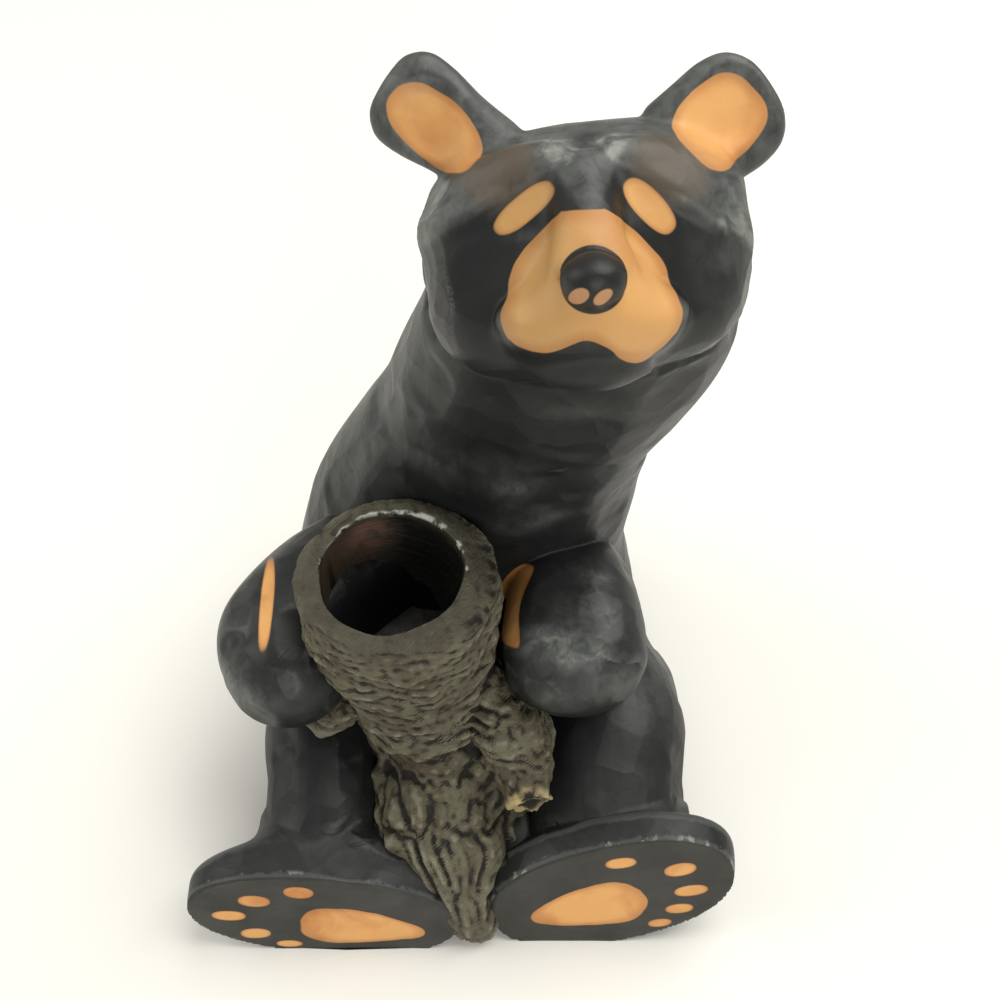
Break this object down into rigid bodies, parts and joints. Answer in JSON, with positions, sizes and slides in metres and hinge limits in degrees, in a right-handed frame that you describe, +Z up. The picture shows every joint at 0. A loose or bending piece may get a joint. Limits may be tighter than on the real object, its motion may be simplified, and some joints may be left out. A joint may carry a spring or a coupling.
{
  "type": "figurine candle holder",
  "caption": "Seated black bear with tan muzzle, eyes, ears and paw pads, hugging a hollow tree stump whose top holds a taper candle.",
  "frame": {"origin": "on the ground under the front of the stump's foot, on the flat underside", "axes": "+Z up; -Y towards the soles, the way the bear faces; +X to the viewer's right when the bear is seen from its front"},
  "size_m": [0.0981, 0.0987, 0.1392],
  "materials": {
    "bear_paint": "cast resin painted charcoal black with brushed grey highlights under a satin clear coat",
    "tan_paint": "hand painted tan with an orange-brown wash, satin",
    "bark_paint": "carved bark, dark wash in the grooves and dry-brushed grey-green on the ridges"
  },
  "bodies": {
    "root": {"bear_with_stump": "bear_paint"}
  },
  "joints": []
}
